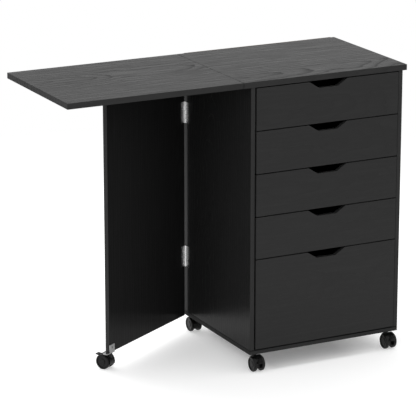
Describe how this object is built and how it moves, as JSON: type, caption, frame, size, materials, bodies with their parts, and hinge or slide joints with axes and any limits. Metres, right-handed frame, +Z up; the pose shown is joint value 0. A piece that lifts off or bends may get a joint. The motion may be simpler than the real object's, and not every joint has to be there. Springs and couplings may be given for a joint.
{
  "type": "folding desk",
  "caption": "Rolling desk with a drawer cabinet, a fixed top, a drop leaf and a hinged gate panel on a caster that carries the leaf.",
  "frame": {"origin": "on the floor, under the middle of the bounding box", "axes": "+X to the right along the worktop, from the leaf to the cabinet; +Y to the back; +Z up. The drawers open towards -Y."},
  "size_m": [0.95, 0.4062, 0.766],
  "materials": {
    "woodgrain_board": "black melamine facing with a printed wood grain, satin",
    "drawer_board": "black foil, satin",
    "hardboard": "thin board, black on its faces, raw at its edges",
    "rail_plastic": "matt",
    "zinc_steel": "zinc plated",
    "hinge_steel": "nickel plated, satin",
    "beech": "raw",
    "nylon": "smooth",
    "caster_plastic": "fine grained",
    "pedal_plastic": "fine grained"
  },
  "bodies": {
    "cabinet": {"left_side_panel": "woodgrain_board", "right_side_panel": "woodgrain_board", "bottom_panel": "woodgrain_board", "fixed_top": "woodgrain_board", "back_panel": "hardboard", "drawer_rails": "rail_plastic", "cabinet_wood_screws": "zinc_steel", "cam_fasteners": "zinc_steel", "panel_dowels": "beech", "bottom_screws": "zinc_steel", "back_panel_nails": "zinc_steel", "gate_hinge_cabinet_plates": "hinge_steel", "gate_hinge_pins": "hinge_steel", "leaf_hinge_top_plates": "hinge_steel", "leaf_hinge_pins": "hinge_steel", "caster_insert_nuts": "zinc_steel", "caster_stems": "zinc_steel"},
    "leaf": {"leaf_panel": "woodgrain_board", "leaf_hinge_leaf_plates": "hinge_steel", "leaf_wood_screws": "zinc_steel"},
    "gate": {"gate_panel": "woodgrain_board", "gate_hinge_gate_plates": "hinge_steel", "gate_wood_screws": "zinc_steel", "caster_bracket": "hinge_steel", "leaf_glide": "nylon", "gate_insert_nut": "zinc_steel", "gate_caster_stem": "zinc_steel"},
    "drawer_1": {"drawer_1_front": "woodgrain_board", "drawer_1_walls": "drawer_board", "drawer_1_bottom": "hardboard"},
    "drawer_2": {"drawer_2_front": "woodgrain_board", "drawer_2_walls": "drawer_board", "drawer_2_bottom": "hardboard"},
    "drawer_3": {"drawer_3_front": "woodgrain_board", "drawer_3_walls": "drawer_board", "drawer_3_bottom": "hardboard"},
    "drawer_4": {"drawer_4_front": "woodgrain_board", "drawer_4_walls": "drawer_board", "drawer_4_bottom": "hardboard"},
    "drawer_5": {"drawer_5_front": "woodgrain_board", "drawer_5_walls": "drawer_board", "drawer_5_bottom": "hardboard"},
    "caster_front_left": {"caster_front_left_hood": "caster_plastic"},
    "wheels_front_left": {"caster_front_left_wheels": "caster_plastic", "caster_front_left_axle": "zinc_steel"},
    "pedal_front_left": {"caster_front_left_pedal": "pedal_plastic"},
    "caster_front_right": {"caster_front_right_hood": "caster_plastic"},
    "wheels_front_right": {"caster_front_right_wheels": "caster_plastic", "caster_front_right_axle": "zinc_steel"},
    "pedal_front_right": {"caster_front_right_pedal": "pedal_plastic"},
    "caster_rear_left": {"caster_rear_left_hood": "caster_plastic"},
    "wheels_rear_left": {"caster_rear_left_wheels": "caster_plastic", "caster_rear_left_axle": "zinc_steel"},
    "caster_rear_right": {"caster_rear_right_hood": "caster_plastic"},
    "wheels_rear_right": {"caster_rear_right_wheels": "caster_plastic", "caster_rear_right_axle": "zinc_steel"},
    "caster_gate": {"caster_gate_hood": "caster_plastic"},
    "wheels_gate": {"caster_gate_wheels": "caster_plastic", "caster_gate_axle": "zinc_steel"},
    "pedal_gate": {"caster_gate_pedal": "pedal_plastic"}
  },
  "joints": [
    {"name": "leaf_hinge", "type": "hinge", "parent": "cabinet", "child": "leaf", "pos_m": [0.00255, 0.00312, 0.7484], "axis": [0, 1, 0], "range_deg": [0, 2]},
    {"name": "gate_hinge", "type": "hinge", "parent": "cabinet", "child": "gate", "pos_m": [0.0224, 0.18112, 0.399], "axis": [0, 0, -1], "range_deg": [-59, 31]},
    {"name": "drawer_1_slide", "type": "slide", "parent": "cabinet", "child": "drawer_1", "axis": [0, -1, 0], "range_m": [0, 0.27]},
    {"name": "drawer_2_slide", "type": "slide", "parent": "cabinet", "child": "drawer_2", "axis": [0, -1, 0], "range_m": [0, 0.27]},
    {"name": "drawer_3_slide", "type": "slide", "parent": "cabinet", "child": "drawer_3", "axis": [0, -1, 0], "range_m": [0, 0.27]},
    {"name": "drawer_4_slide", "type": "slide", "parent": "cabinet", "child": "drawer_4", "axis": [0, -1, 0], "range_m": [0, 0.27]},
    {"name": "drawer_5_slide", "type": "slide", "parent": "cabinet", "child": "drawer_5", "axis": [0, -1, 0], "range_m": [0, 0.27]},
    {"name": "front_left_caster_swivel", "type": "hinge", "parent": "cabinet", "child": "caster_front_left", "pos_m": [0.048, -0.16288, 0.0283], "axis": [0, 0, 1], "continuous": true},
    {"name": "front_left_wheel_spin", "type": "hinge", "parent": "caster_front_left", "child": "wheels_front_left", "pos_m": [0.048, -0.17688, 0.02], "axis": [1, 0, 0], "continuous": true},
    {"name": "front_left_brake_pedal", "type": "hinge", "parent": "caster_front_left", "child": "pedal_front_left", "pos_m": [0.048, -0.18652, 0.03149], "axis": [-1, 0, 0], "range_deg": [0, 28]},
    {"name": "front_right_caster_swivel", "type": "hinge", "parent": "cabinet", "child": "caster_front_right", "pos_m": [0.442, -0.16288, 0.0283], "axis": [0, 0, 1], "continuous": true},
    {"name": "front_right_wheel_spin", "type": "hinge", "parent": "caster_front_right", "child": "wheels_front_right", "pos_m": [0.442, -0.17688, 0.02], "axis": [1, 0, 0], "continuous": true},
    {"name": "front_right_brake_pedal", "type": "hinge", "parent": "caster_front_right", "child": "pedal_front_right", "pos_m": [0.442, -0.18652, 0.03149], "axis": [-1, 0, 0], "range_deg": [0, 28]},
    {"name": "rear_left_caster_swivel", "type": "hinge", "parent": "cabinet", "child": "caster_rear_left", "pos_m": [0.048, 0.16912, 0.0283], "axis": [0, 0, 1], "continuous": true},
    {"name": "rear_left_wheel_spin", "type": "hinge", "parent": "caster_rear_left", "child": "wheels_rear_left", "pos_m": [0.048, 0.18312, 0.02], "axis": [-1, 0, 0], "continuous": true},
    {"name": "rear_right_caster_swivel", "type": "hinge", "parent": "cabinet", "child": "caster_rear_right", "pos_m": [0.442, 0.16912, 0.0283], "axis": [0, 0, 1], "continuous": true},
    {"name": "rear_right_wheel_spin", "type": "hinge", "parent": "caster_rear_right", "child": "wheels_rear_right", "pos_m": [0.442, 0.18312, 0.02], "axis": [-1, 0, 0], "continuous": true},
    {"name": "gate_caster_swivel", "type": "hinge", "parent": "gate", "child": "caster_gate", "pos_m": [-0.28204, 0.00823, 0.0283], "axis": [0, 0, 1], "continuous": true},
    {"name": "gate_wheel_spin", "type": "hinge", "parent": "caster_gate", "child": "wheels_gate", "pos_m": [-0.28925, 0.02023, 0.02], "axis": [-0.8572, -0.515, 0], "continuous": true},
    {"name": "gate_brake_pedal", "type": "hinge", "parent": "caster_gate", "child": "pedal_gate", "pos_m": [-0.29421, 0.02849, 0.03149], "axis": [-0.8572, -0.515, 0], "range_deg": [0, 28]}
  ]
}
